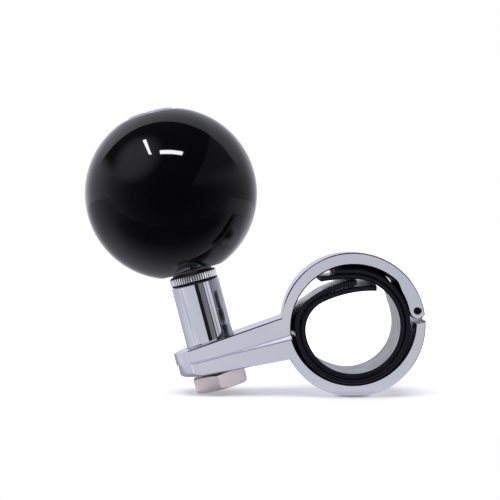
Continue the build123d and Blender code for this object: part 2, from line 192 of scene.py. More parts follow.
def a_number(name, description, default, least=0.0):
    """A setting without a unit."""
    return FloatProperty(name=name, description=description, min=least, default=default)


def a_count(name, description, default, least):
    """A setting for how many there are."""
    return IntProperty(name=name, description=description, min=least, default=default)


def a_colour(name, description, *default):
    """A setting for a colour."""
    return FloatVectorProperty(
        name=name, description=description, subtype="COLOR", size=3, min=0, max=1, default=default
    )


class BallSettings(bpy.types.PropertyGroup):
    """The ball and its badge."""

    colour: a_colour("Ball colour", "Colour of the moulded ball", 0.0036, 0.0033, 0.0046)
    gloss_roughness: a_share("Ball roughness", "Roughness of the ball's polish", 0.035)
    specular: a_share("Ball specular", "Specular level of the ball", 0.5)
    rim_round: a_length("Rim rounding", "Rounding of the badge recess and of the flat's edge", 0.12 * MM)
    badge_colour: a_colour("Badge colour", "Colour of the bare badge", 0.88, 0.88, 0.96)
    badge_crown: a_length("Badge flattening", "How far its middle lies under the ball's sphere", 0.4 * MM)
    badge_rim: a_length("Badge rim", "Width of the badge's blueish edge line", 0.5 * MM)
    badge_sink: a_length("Badge sink", "How far the ball falls away round the badge", 0.4 * MM)


class ChromeSettings(bpy.types.PropertyGroup):
    """The bright plated pieces."""

    colour: a_colour("Chrome colour", "Colour of the plating", 0.80, 0.81, 0.865)
    jaw_roughness: a_share("Jaw roughness", "Roughness of the polished castings", 0.26)
    bore_offset: a_place("Bore offset", "How far the bore's centre stands above the ring's", 0.95 * MM)
    post_roughness: a_share("Post roughness", "Roughness of the turned post", 0.045)
    edge_round: a_length("Edge rounding", "Rounding of turned edges", 0.3 * MM)
    flute_count: a_count("Flutes", "Flutes round the knurled ring", 60, 3)
    flute_radius: a_length("Flute radius", "Radius of one flute", 0.3 * MM)


class FastenerSettings(bpy.types.PropertyGroup):
    """The stud, the nut and the hinge pin."""

    thread_pitch: a_length("Thread pitch", "Pitch of the stud's thread", 1.5 * MM, 0.2 * MM)
    thread_depth: a_length("Thread depth", "Depth of the stud's thread", 0.8 * MM)
    nut_corner: a_number("Nut corner power", "How sharp the nut's corners are", 160, 8)
    nut_colour: a_colour("Nut colour", "Colour of the nickel plating", 0.80, 0.745, 0.755)
    steel_colour: a_colour("Steel colour", "Colour of the plain steel", 0.55, 0.55, 0.57)


class RubberSettings(bpy.types.PropertyGroup):
    """Both rubber strips."""

    thickness: a_length("Thickness", "Thickness of a strip", 1.55 * MM, 0.1 * MM)
    gap: a_length("Gap", "Gap between the two strips' rounds", 0.05 * MM)
    shift_along: a_place("Shift along", "Place of the strips along the arms, from the ring", -0.42 * MM)
    shift_up: a_place("Shift up", "Place of the strips up the stud axis, from the ring", -0.2 * MM)
    lap_angle: an_angle("Lap angle", "Where the free ends leave the round", 75.1)
    edge_round: a_length("Edge rounding", "Rounding of a strip's long edges", 0.4 * MM)
    flare: a_length("Flare", "How far the strips' back edges lean out to the bore", 1.7 * MM)
    groove_depth: a_length("Groove depth", "Depth of the grooves along a strip's inner face", 0.07 * MM)
    groove_count: a_count("Grooves", "Shallow grooves along a strip's inner face", 5, 0)
    colour: a_colour("Rubber colour", "Colour of the rubber", 0.006, 0.0065, 0.011)


class OuterStripSettings(bpy.types.PropertyGroup):
    """The outer strip's lap. Radii are multiples of the round's."""

    open_angle: an_angle("Opening", "Where the curl leaves the round", 165.0)
    curl: a_number("Curl", "Radius of the curl", 0.5706)
    curl_angle: an_angle("Curl angle", "Length of the curl", 51.9)
    tail: a_number("Tail", "Radius of the tail", 1.676)
    tail_angle: an_angle("Tail angle", "Length of the tail", 31.9)
    end: a_number("Free end", "Radius of the free end", 4.458)
    end_angle: an_angle("Free end angle", "Length of the free end", 4.35)


class InnerStripSettings(bpy.types.PropertyGroup):
    """The inner strip's lap. Radii are multiples of the round's."""

    open_angle: an_angle("Opening", "Where the curl leaves the round", 177.9)
    curl: a_number("Curl", "Radius of the curl", 0.6732)
    curl_angle: an_angle("Curl angle", "Length of the curl", 77.6)
    tail: a_number("Tail", "Radius of the tail", 2.351)
    tail_angle: an_angle("Tail angle", "Length of the tail", 27.2)
    end: a_number("Free end", "Radius of the free end", 3.81)
    end_angle: an_angle("Free end angle", "Length of the free end", 9.88)


class StageSettings(bpy.types.PropertyGroup):
    """Camera, table and lights."""

    focal: a_number("Focal length", "Focal length in pixels of a 500 pixel wide picture", 1112.0)
    distance: a_place("Camera distance", "Distance of the camera in front of the part's middle plane", 0.350)
    height: a_place("Camera height", "Height of the camera above the table", 0.0492)
    across: a_place("Camera offset", "Offset of the camera to the right", 0.0012)
    yaw: an_angle("Yaw", "Turn of the camera to the left", 0.37)
    pitch: an_angle("Pitch", "Tilt of the camera downwards", 0.69)
    table_colour: a_colour("Table colour", "Colour of the table", 0.86, 0.86, 0.88)
    card_level: a_number("Front card", "Brightness of the card in front of the castings", 0.66)
    table_glow: a_share("Table glow", "Part of the table's white near the part that shadows leave", 0.3)
    backdrop_colour: a_colour("Backdrop colour", "Tint of the pale surroundings", 0.90, 0.90, 1.0)


def round_steps(count):
    """Angles at even steps round a full turn."""
    return np.linspace(0, FULL_TURN, count, endpoint=False)


def towards(angle):
    """The unit vector at an angle, or one for each of several angles, as cosine and sine."""
    return np.stack((np.cos(angle), np.sin(angle)), axis=-1)


def stud_points(radius, angle, height):
    """Points at a radius, an angle and a height about the stud axis; the three arrays are broadcast."""
    radius, angle, height = np.broadcast_arrays(radius, angle, height)
    return (
        FOOT
        + (radius * np.cos(angle))[..., None] * ALONG
        + (radius * np.sin(angle))[..., None] * DEPTH
        + height[..., None] * UP
    )


def surface(name, points, wrap_rows=False, wrap_columns=False, caps=False, sharp=40.0):
    """A mesh object from a grid of points: each cell of the grid is one four-sided face, and the
    grid may close on itself along its rows or columns. Doubled points, as at a pole, are merged.
    With caps, the first and the last row are closed by a face of their own."""
    rows, columns = points.shape[:2]
    index = np.arange(rows * columns).reshape(rows, columns)
    if wrap_rows:
        index = np.vstack((index, index[:1]))
    if wrap_columns:
        index = np.hstack((index, index[:, :1]))
    quads = np.stack((index[:-1, :-1], index[:-1, 1:], index[1:, 1:], index[1:, :-1]), axis=-1)
    faces = quads.reshape(-1, 4).tolist()
    if caps:
        faces += [list(range(columns)), list(range((rows - 1) * columns, rows * columns))]
    mesh = bpy.data.meshes.new(name)
    mesh.from_pydata(points.reshape(-1, 3).tolist(), [], faces)
    work = bmesh.new()
    work.from_mesh(mesh)
    bmesh.ops.remove_doubles(work, verts=work.verts, dist=1e-7)
    bmesh.ops.dissolve_degenerate(work, edges=work.edges, dist=1e-8)
    bmesh.ops.recalc_face_normals(work, faces=work.faces)
    work.to_mesh(mesh)
    work.free()
    mesh.shade_smooth()
    mesh.set_sharp_from_angle(angle=math.radians(sharp))
    return new_object(name, mesh)


def new_object(name, data):
    """A new object in the scene, at the origin."""
    thing = bpy.data.objects.new(name, data)
    bpy.context.scene.collection.objects.link(thing)
    return thing


def rounded(corners, radii, steps=6):
    """A closed outline whose corners are arcs. Each arc leaves its corner by the rounding's radius
    over the sine of half the corner's angle, and runs between the normals of its two sides."""
    corners = np.asarray(corners, float)
    radii = np.broadcast_to(np.asarray(radii, float), (len(corners),))
    back = np.roll(corners, 1, axis=0) - corners
    ahead = np.roll(corners, -1, axis=0) - corners
    back /= np.linalg.norm(back, axis=1, keepdims=True)
    ahead /= np.linalg.norm(ahead, axis=1, keepdims=True)
    middle = back + ahead
    middle /= np.linalg.norm(middle, axis=1, keepdims=True)
    half = np.arccos(np.clip((back * middle).sum(axis=1), -1, 1))[:, None]
    first = back / np.tan(half) - middle / np.sin(half)
    last = ahead / np.tan(half) - middle / np.sin(half)
    sweep = (math.pi - 2 * half)[:, None, :]
    share = np.linspace(0, 1, steps)[None, :, None]
    arc = np.sin((1 - share) * sweep) * first[:, None] + np.sin(share * sweep) * last[:, None]
    centre = corners + middle * (radii[:, None] / np.sin(half))
    return (centre[:, None] + radii[:, None, None] * arc / np.sin(sweep)).reshape(-1, 2)


def ring_outline(bore, outside, base, top, ease):
    """The outline of a ring, or of a rod if its bore is 0, with both outer rims rounded."""
    return rounded(((bore, base), (outside, base), (outside, top), (bore, top)), (0, ease, ease, 0))


def turned(name, outline, around=192, sharp=40.0):
    """A closed outline of radii and heights, turned about the stud axis."""
    points = stud_points(outline[:, :1], round_steps(around)[None, :], outline[:, 1:])
    return surface(name, points, wrap_rows=True, wrap_columns=True, sharp=sharp)


def coat(piece, finish):
    """Gives a piece one material."""
    piece.data.materials.clear()
    piece.data.materials.append(finish.material)


def finish_piece(piece, body, slot, finish, *nodes):
    """Puts a new piece on its body in place of the CAD nodes that it stands for."""
    coat(piece, finish)
    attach(piece, body)
    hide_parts(*nodes)


class Nodes:
    """The nodes of a material, of the world or of a group. Calling it makes one Math node."""

    def __init__(self, tree):
        self.tree = tree

    def __call__(self, operation, *terms):
        return self.node("ShaderNodeMath", terms, operation=operation).outputs[0]

    def node(self, kind, terms=(), **values):
        """A new node, with its properties set and its sockets fed, in their order or by name or place."""
        made = self.tree.nodes.new(kind)
        for key, value in values.items():
            setattr(made, key, value)
        for socket, term in terms.items() if isinstance(terms, dict) else enumerate(terms):
            self.feed(made.inputs[socket], term)
        return made

    def feed(self, socket, term):
        """Puts another node's output, a number, a vector or a colour into a socket."""
        if isinstance(term, bpy.types.NodeSocket):
            self.tree.links.new(term, socket)
        else:
            socket.default_value = (*term, 1) if socket.type == "RGBA" else term

    def vector(self, operation, *terms):
        """The result of one Vector Math node."""
        node = self.node("ShaderNodeVectorMath", terms, operation=operation)
        return node.outputs["Value" if operation in ("LENGTH", "DOT_PRODUCT") else "Vector"]

    def split(self, vector):
        """The three parts of a vector."""
        return self.node("ShaderNodeSeparateXYZ", (vector,)).outputs

    def weighted(self, *pairs):
        """The sum of products of a socket and a weight, or of two sockets."""
        total = 0.0
        for first, second in pairs:
            total = self("ADD", self("MULTIPLY", first, second), total)
        return total

    def ease(self, value, low, high, first=0.0, last=1.0, kind="SMOOTHSTEP"):
        """A step from one value to another, smooth unless its kind is LINEAR."""
        terms = (value, low, high, first, last)
        return self.node("ShaderNodeMapRange", terms, interpolation_type=kind).outputs[0]

    def spread(self, value, low, high, start=0.3, end=0.7):
        """A value mapped evenly from one range to another; a noise lies from 0.3 to 0.7."""
        return self.ease(value, start, end, low, high, "LINEAR")

    def steps(self, value, stops):
        """A grey level read from stops between -1 and 1."""
        ramp = self.node("ShaderNodeValToRGB", (self("MULTIPLY_ADD", value, 0.5, 0.5),))
        elements = ramp.color_ramp.elements
        while len(elements) < len(stops):
            elements.new(0.5)
        for element, (place, level) in zip(elements, stops):
            element.position = place / 2 + 0.5
            element.color = (level, level, level, 1)
        return ramp.outputs["Color"]

    def mix(self, share, first, second):
        """A colour between two colours."""
        return self.node("ShaderNodeMix", {0: share, 6: first, 7: second}, data_type="RGBA").outputs[2]

    def blend(self, share, first, second):
        """A level between two levels."""
        return self.weighted((first, self("SUBTRACT", 1.0, share)), (second, share))


class Finish(Nodes):
    """A material that is built up on one Principled shader."""

    def __init__(self, name, colour, roughness, metallic=0.0):
        self.material = bpy.data.materials.new(name)
        self.material.use_nodes = True
        super().__init__(self.material.node_tree)
        self.shader = self.tree.nodes["Principled BSDF"]
        self.set("Base Color", colour)
        self.set("Roughness", roughness)
        self.set("Metallic", metallic)
        coordinates = self.node("ShaderNodeTexCoord")
        self.place, self.normal = coordinates.outputs["Object"], coordinates.outputs["Normal"]

    def set(self, socket, term):
        """Feeds one of the shader's own sockets."""
        self.feed(self.shader.inputs[socket], term)

    def turned_place(self):
        """Object coordinates in the stud's own frame: z along the stud axis."""
        lean = (0, math.atan2(UP[0], UP[2]), 0)
        return self.node("ShaderNodeMapping", (self.place, FOOT, lean), vector_type="TEXTURE").outputs[0]

    def from_axis(self):
        """Distance from the stud axis."""
        return self.vector("LENGTH", self.vector("MULTIPLY", self.turned_place(), (1, 1, 0)))

    def noise(self, place, scale, detail=3.0, rough=0.5, stretch=(1, 1, 1)):
        """A noise texture's value, with its place stretched along the axes."""
        place = self.vector("MULTIPLY", place, stretch)
        terms = {"Vector": place, "Scale": scale, "Detail": detail, "Roughness": rough}
        return self.node("ShaderNodeTexNoise", terms).outputs["Fac"]

    def bump(self, height, strength, distance):
        """A bump from a height, on the shader's normal."""
        terms = {"Strength": strength, "Distance": distance, "Height": height}
        self.set("Normal", self.node("ShaderNodeBump", terms).outputs["Normal"])

    def clouded(self, cloud, first, second):
        """A base colour that goes from one colour to another with a cloud."""
        self.set("Base Color", self.mix(self.spread(cloud, 0, 1), first, second))


def shaded(colour, factor):
    """A colour times a factor."""
    return tuple(channel * factor for channel in colour)


def ball_finish(settings):
    """Gloss black moulding, with the faint waviness of a polished ball."""
    finish = Finish("ball_gloss", settings.colour, settings.gloss_roughness)
    finish.set("Specular IOR Level", settings.specular)
    finish.bump(finish.noise(finish.place, 90, detail=1.0), 0.02, 0.2 * MM)
    smear = finish.noise(finish.place, 220, detail=4.0)
    gloss = settings.gloss_roughness
    finish.set("Roughness", finish.spread(smear, gloss * 0.8, gloss * 1.5))
    return finish


def badge_finish(settings):
    """Pale disc under a clear dome, with a blueish line round its rim."""
    finish = Finish("badge_pale", settings.badge_colour, 0.18)
    finish.set("Coat Weight", 0.6)
    finish.set("Coat Roughness", 0.03)
    outside, rim = radius_of("ball_badge"), settings.badge_rim
    edge = finish.spread(finish.from_axis(), 0.0, 1.0, start=outside - rim * 1.2, end=outside - rim)
    finish.set("Base Color", finish.mix(edge, settings.badge_colour, BADGE_RIM))
    return finish


def chrome_finish(name, colour, roughness, lines):
    """Bright plating: a soft cloud in its roughness and fine polishing lines across it."""
    finish = Finish(name, colour, roughness, metallic=1.0)
    finish.set("Specular Tint", CHROME_EDGE)
    cloud = finish.noise(finish.place, 60, detail=2.0)
    finish.set("Roughness", finish.spread(cloud, roughness * 0.92, roughness * 1.08))
    finish.clouded(cloud, shaded(colour, 0.97), colour)
    finish.bump(finish.noise(finish.place, 500, detail=2.0), lines, 0.01 * MM)
    return finish


def knurl_finish(settings, radius):
    """Bright plating with painted shade darkening the roots between its flutes."""
    finish = Finish("knurl_chrome", settings.colour, 0.14, metallic=1.0)
    # Painted shade: the flutes' roots are coloured near black, where shade falls between the flutes
    root = finish.spread(finish.from_axis(), 0, 1, start=radius - 0.27 * MM, end=radius - 0.1 * MM)
    finish.set("Base Color", finish.mix(root, FLUTE_ROOT_PAINTED_SHADE, FLUTE_CREST))
    finish.set("Roughness", finish.spread(root, 0.5, 0.14, start=0, end=1))
    return finish


def jaw_finish_painted_shade_and_sheen(name, settings, hinge, lines):
    """The castings' plating. Painted shade makes it dark inside the bore, where a face looks to the ring's
    middle, and painted shade darkens it as much as hinge says right of the ring, on faces that look up and
    beside the knuckle. Its turned face has two pale, warm streaks of painted sheen: the sine of twice the
    angle round the ring, fading out beyond the ring."""
    finish = chrome_finish(name, settings.colour, settings.jaw_roughness, lines)
    plating = finish.shader.inputs["Base Color"].links[0].from_socket
    centre = RING_CENTRE + settings.bore_offset * UP
    bore = np.linalg.norm((corners_of("lower_jaw") - centre)[:, (0, 2)], axis=1).min()
    away = finish.vector("SUBTRACT", finish.place, centre)
    flat = finish.vector("MULTIPLY", away, (1, 0, 1))
    reach = finish.vector("LENGTH", flat)
    x, _, z = finish.split(away)
    # Painted shade: the plating turns near black inside the bore and on faces that look to the ring's
    # middle, where edge falls to 0
    beyond = finish.ease(reach, bore + 0.03 * MM, bore + 0.12 * MM)
    inward = finish("DIVIDE", finish.vector("DOT_PRODUCT", finish.normal, flat), reach)
    within = finish.ease(reach, 0.96 * RING_RADIUS, 0.98 * RING_RADIUS, 1.0, 0.0)
    wall = finish("MULTIPLY", finish.ease(inward, -0.8, -0.6, 1.0, 0.0), within)
    edge = finish("SUBTRACT", beyond, wall)
    # Painted sheen: two pale warm streaks in the base colour stand in for the turned face's radial
    # highlights
    wave = finish("SINE", finish("MULTIPLY_ADD", finish("ARCTAN2", z, x), 2.0, 2.1))
    painted_sheen_mask = finish.ease(wave, 0.2, 1.0, 0.0, 0.55)
    ring = finish.ease(reach, RING_RADIUS, 1.3 * RING_RADIUS, 1.0, 0.0)
    warm = finish.mix(finish("MULTIPLY", painted_sheen_mask, ring), plating, PAINTED_SHEEN)
    # Painted shade under the hinge: faces that look up, and faces beside the knuckle, right of the ring,
    # take a dark colour
    _, facing_side, facing_up = finish.split(finish.normal)
    up = finish.ease(facing_up, 0.3, 0.6, 0.0, hinge)
    sideways = finish.ease(finish("ABSOLUTE", facing_side), 0.3, 0.6, hinge, 0.0)
    under = finish.ease(x, 0.84 * RING_RADIUS, 0.9 * RING_RADIUS, 1.0, 0.0)
    right = finish.ease(x, 0.6 * RING_RADIUS, 0.64 * RING_RADIUS)
    corner = finish("MULTIPLY", right, finish.ease(z, 0.0, 0.1 * MM))
    painted_hinge_shade_mask = finish("MULTIPLY", finish("MAXIMUM", up, finish("MULTIPLY", sideways, under)), corner)
    finish.set("Base Color", finish.mix(edge, BORE_PAINTED_SHADE, finish.mix(painted_hinge_shade_mask, warm, HINGE_SHADE)))
    finish.set("Specular Tint", finish.mix(edge, BORE_PAINTED_SHADE_TINT, CHROME_EDGE))
    return finish


def nickel_finish(settings):
    """Dull nickel on the nut: warm, a little stained, with drawn lines along its flats."""
    finish = Finish("nut_nickel", settings.nut_colour, 0.38, metallic=1.0)
    stain = finish.noise(finish.place, 260, detail=6.0, rough=0.6)
    finish.clouded(stain, shaded(settings.nut_colour, 0.86), settings.nut_colour)
    finish.set("Roughness", finish.spread(stain, 0.32, 0.46))
    drawn = finish.noise(finish.turned_place(), 1500, detail=4.0, stretch=(1.0, 1.0, 0.08))
    finish.bump(drawn, 0.12, 0.05 * MM)
    return finish


def steel_finish(name, colour, roughness):
    """Turned steel, with fine lines round the stud axis."""
    finish = Finish(name, colour, roughness, metallic=1.0)
    fine = finish.noise(finish.turned_place(), 1600, detail=3.0, stretch=(0.05, 0.05, 1.0))
    finish.bump(fine, 0.15, 0.03 * MM)
    finish.set("Roughness", finish.spread(fine, roughness * 0.8, roughness * 1.2))
    return finish


def plain_finish(name, colour, roughness, metallic=0.0):
    """A moulded or drawn piece with a fine grain."""
    finish = Finish(name, colour, roughness, metallic)
    grain = finish.noise(finish.place, 1800, detail=4.0)
    finish.bump(grain, 0.1, 0.03 * MM)
    finish.clouded(grain, shaded(colour, 0.85), colour)
    return finish


def rubber_finish(settings):
    """Black rubber strip: a soft sheen, fine lines along its length and a little dust."""
    finish = Finish("strip_rubber", settings.colour, 0.22)
    finish.set("Specular Tint", RUBBER_EDGE)
    lines = finish.noise(finish.place, 700, detail=3.0, stretch=(0.04, 1.0, 0.04))
    finish.bump(lines, 0.22, 0.06 * MM)
    cloud = finish.noise(finish.place, 160, detail=4.0)
    finish.set("Roughness", finish.spread(cloud, 0.18, 0.28))
    finish.clouded(cloud, settings.colour, shaded(settings.colour, 1.7))
    return finish


class SPINNER_OT_ball(bpy.types.Operator):
    """Build the ball: a sphere's arc from its flat to the badge recess, turned about the stud axis.
    Near the recess it falls away by the badge's sink times a smooth step"""

    bl_idname = "spinner.ball"
    bl_label = "Ball"

    def execute(self, context):
        settings = context.scene.spinner_ball
        flat, _ = heights_of("ball_knob")
        seat, _ = heights_of("ball_badge")
        _, insert = heights_of("ball_insert")
        bore = radius_of("spindle") - BURIED
        badge = radius_of("ball_badge")
        recess = badge + PLAY
        ease = settings.rim_round
        low = math.asin((flat - BALL_CENTRE) / BALL_RADIUS)
        high = math.acos(recess / BALL_RADIUS)
        foot = math.cos(low) * BALL_RADIUS
        latitude = np.linspace(low + ease / BALL_RADIUS, high - ease / BALL_RADIUS, 220)
        out = BALL_RADIUS * np.cos(latitude)
        skirt = 1.5 * recess
        near = np.where(latitude > 0, np.clip((skirt - out) / (skirt - recess), 0, 1), 0)
        sink = settings.badge_sink * near**2 * (3 - 2 * near)
        shell = np.column_stack((out, BALL_CENTRE + BALL_RADIUS * np.sin(latitude) - sink))
        inside = ((0.0, insert), (bore, insert), (bore, flat), (foot - ease, flat))
        rim = (recess - ease * 0.2, shell[-1, 1] - ease * 0.3)
        outline = np.vstack((inside, shell, (rim, (recess, seat), (0.0, seat))))
        piece = turned("ball", outline, around=256, sharp=50)
        finish_piece(piece, "knob", "ball", ball_finish(settings), "ball_knob")
        self.badge(settings, badge, seat)
        return {"FINISHED"}

    def badge(self, settings, badge, seat):
        """The badge: a cap of the ball's sphere with a rounded rim, flattened toward its middle
        by its crown times one less the square of the radius over the rim's."""
        ease = settings.rim_round
        edge = math.acos((badge - ease) / BALL_RADIUS)
        latitude = np.linspace(edge, math.pi / 2, 40)
        out = BALL_RADIUS * np.cos(latitude)
        crown = -settings.badge_crown * (1 - (out / badge) ** 2)
        dome = np.column_stack((out, BALL_CENTRE + BALL_RADIUS * np.sin(latitude) + crown))
        top = BALL_CENTRE + math.sin(edge) * BALL_RADIUS
        rim = ((0.0, seat), (badge, seat), (badge, top - ease), (badge - ease * 0.4, top - ease * 0.25))
        piece = turned("badge", np.vstack((rim, dome)), around=192, sharp=60)
        finish_piece(piece, "knob", "badge", badge_finish(settings), "ball_badge")


class SPINNER_OT_knurled_ring(bpy.types.Operator):
    """Build the knurled ring: a bevelled profile whose radius drops by a round flute at even angles"""

    bl_idname = "spinner.knurled_ring"
    bl_label = "Knurled ring and washer"

    def execute(self, context):
        settings = context.scene.spinner_chrome
        bore, radius, base, top = ring_of("knurled_ring")
        flute = settings.flute_radius
        angle = round_steps(settings.flute_count * 12)
        pitch = FULL_TURN / settings.flute_count
        across = (np.mod(angle + pitch / 2, pitch) - pitch / 2) * radius
        cut = radius - np.sqrt(np.clip(flute**2 - across**2, 0, None))
        outline = ring_outline(bore, radius, base, top, ease=0.22 * MM)
        points = stud_points(np.minimum(outline[:, :1], cut[None, :]), angle[None, :], outline[:, 1:])
        piece = surface("knurled_ring_chrome", points, wrap_rows=True, wrap_columns=True, sharp=35)
        chrome = knurl_finish(settings, radius)
        finish_piece(piece, "knob", "knurled_chrome", chrome, "knurled_ring")
        self.washer()
        self.seal(radius, base)
        return {"FINISHED"}

    def seal(self, radius, base):
        """The dust seal that fills the gap between the post and the knurled ring, short of both rims."""
        low = heights_of("post_housing")[1] + PLAY
        inset = 0.35 * MM
        outline = ring_outline(radius_of("spindle_clip"), radius - inset, low, base, ease=0.1 * MM)
        seal = turned("dust_seal", outline)
        coat(seal, plain_finish("seal_rubber", SEAL_RUBBER, 0.6))
        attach(seal, "knob")

    def washer(self):
        """The thin washer, with both rims rounded."""
        outline = ring_outline(*ring_of("insert_washer"), ease=0.15 * MM)
        finish = plain_finish("washer_brown", WASHER_BROWN, 0.45, metallic=1.0)
        finish_piece(turned("washer", outline), "knob", "washer", finish, "insert_washer")


class SPINNER_OT_post(bpy.types.Operator):
    """Build the post: a tube with rounded rims and a stepped bore, turned about the stud axis"""

    bl_idname = "spinner.post"
    bl_label = "Post"

    def execute(self, context):
        settings = context.scene.spinner_chrome
        bore, outside, base, top = ring_of("post_housing")
        slack = 0.01 * MM
        bearing = radius_of("upper_bearing_outer_race") + slack
        floor = heights_of("clamp_stud")[1]
        ease = settings.edge_round
        outline = rounded(
            ((bore, base), (outside, base), (outside, top), (bearing, top), (bearing, floor), (bore, floor)),
            (0, ease / 2, ease, ease / 3, 0, 0),
        )
        piece = turned("post", outline, around=256)
        chrome = chrome_finish("post_chrome", settings.colour, settings.post_roughness, lines=0.06)
        finish_piece(piece, "upper_clamp", "post_chrome", chrome, "post_housing")
        return {"FINISHED"}


class SPINNER_OT_fasteners(bpy.types.Operator):
    """Build the stud, the nut and the hinge pin, the first two with real threads"""

    bl_idname = "spinner.fasteners"
    bl_label = "Stud, nut and pin"

    def execute(self, context):
        settings = context.scene.spinner_fasteners
        self.stud(settings)
        self.nut(settings)
        self.pin()
        return {"FINISHED"}

    def thread(self, settings, angle, height):
        """Depth of the thread at an angle and height: a triangle wave that climbs one pitch a turn,
        cut off flat at its crest and root."""
        turn = np.mod(height / settings.thread_pitch - angle / FULL_TURN, 1.0)
        wave = np.clip(1.3 * np.abs(2 * turn - 1) - 0.15, 0, 1)
        return wave * settings.thread_depth

    def stud(self, settings):
        """The stud: a rod whose radius is its own less the thread's depth, with coned ends."""
        _, radius, base, top = ring_of("clamp_stud")
        cone = 0.6 * MM
        height = np.linspace(base, top, 230)[:, None]
        angle = round_steps(96)[None, :]
        end = radius - cone + np.minimum(height - base, top - height)
        reach = np.minimum(radius - self.thread(settings, angle, height), end)
        points = stud_points(reach, angle, height)
        piece = surface("threaded_stud", points, wrap_columns=True, caps=True, sharp=50)
        steel = steel_finish("stud_steel", settings.steel_colour, 0.34)
        finish_piece(piece, "upper_clamp", "steel", steel, "clamp_stud")

    def nut(self, settings):
        """The nut: rows from the bore out over the face, up the chamfer's cone to where it meets the
        flats, down the flats and back to the bore. The flats' radius is a power mean of six planes.
        The upper chamfer falls less than the lower."""
        bore, corner, base, top = ring_of("clamp_nut")
        flat = corner * math.cos(math.radians(30))
        face, mouth, lip, upper_fall = flat * 0.965, 0.5 * MM, 0.02 * MM, 0.4
        angle = round_steps(720)
        planes = np.arange(6)[:, None] * math.radians(60)
        facing = np.clip(np.cos(angle[None, :] - planes), 0, None)
        reach = flat / (facing**settings.nut_corner).sum(axis=0) ** (1 / settings.nut_corner)
        fall = np.clip(reach - face, 0, None) * math.tan(math.radians(30))
        start = np.array((bore + mouth, face * 0.985, face, face, face, face, face))[:, None]
        rise = np.array((0, 0, lip, 0, 0, 0, 0))[:, None]
        share = np.array((0, 0, 0, 0.25, 0.5, 0.75, 0.93))[:, None]
        side = np.linspace(0, 1, 12)[:, None]
        chamfer = start + (reach - face) * share
        wall = base + fall + side * (top - base - (1 + upper_fall) * fall)
        climb = np.linspace(top, base, 60)[:, None]
        lead = np.minimum(climb - base, top - climb)
        hole = np.maximum(settings.thread_depth - self.thread(settings, angle[None, :], climb), mouth - lead)
        out = np.vstack((chamfer, reach + 0 * side, chamfer[::-1], bore + hole))
        upper = (top - rise - upper_fall * fall * share)[::-1]
        height = np.vstack((base + rise + fall * share, wall, upper, climb + 0 * hole))
        points = stud_points(out, angle[None, :], height)
        piece = surface("hex_nut", points, wrap_rows=True, wrap_columns=True, sharp=32)
        finish_piece(piece, "nut", "nut_plating", nickel_finish(settings), "clamp_nut")

    def pin(self):
        """The hinge pin: a rod along the clamp's width with rounded ends."""
        low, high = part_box("hinge_pin")
        outline = ring_outline(0, (high.z - low.z) / 2, low.y, high.y, ease=0.25 * MM)
        radius, depth = outline[:, :1], outline[:, 1:]
        angle = round_steps(48)
        rows = np.broadcast_arrays(PIN[0] + radius * np.cos(angle), depth, PIN[2] + radius * np.sin(angle))
        piece = surface("pin", np.stack(rows, axis=-1), wrap_rows=True, wrap_columns=True)
        dark = steel_finish("pin_steel", PIN_DARK, 0.5)
        finish_piece(piece, "upper_clamp", "pin_steel", dark, "hinge_pin")


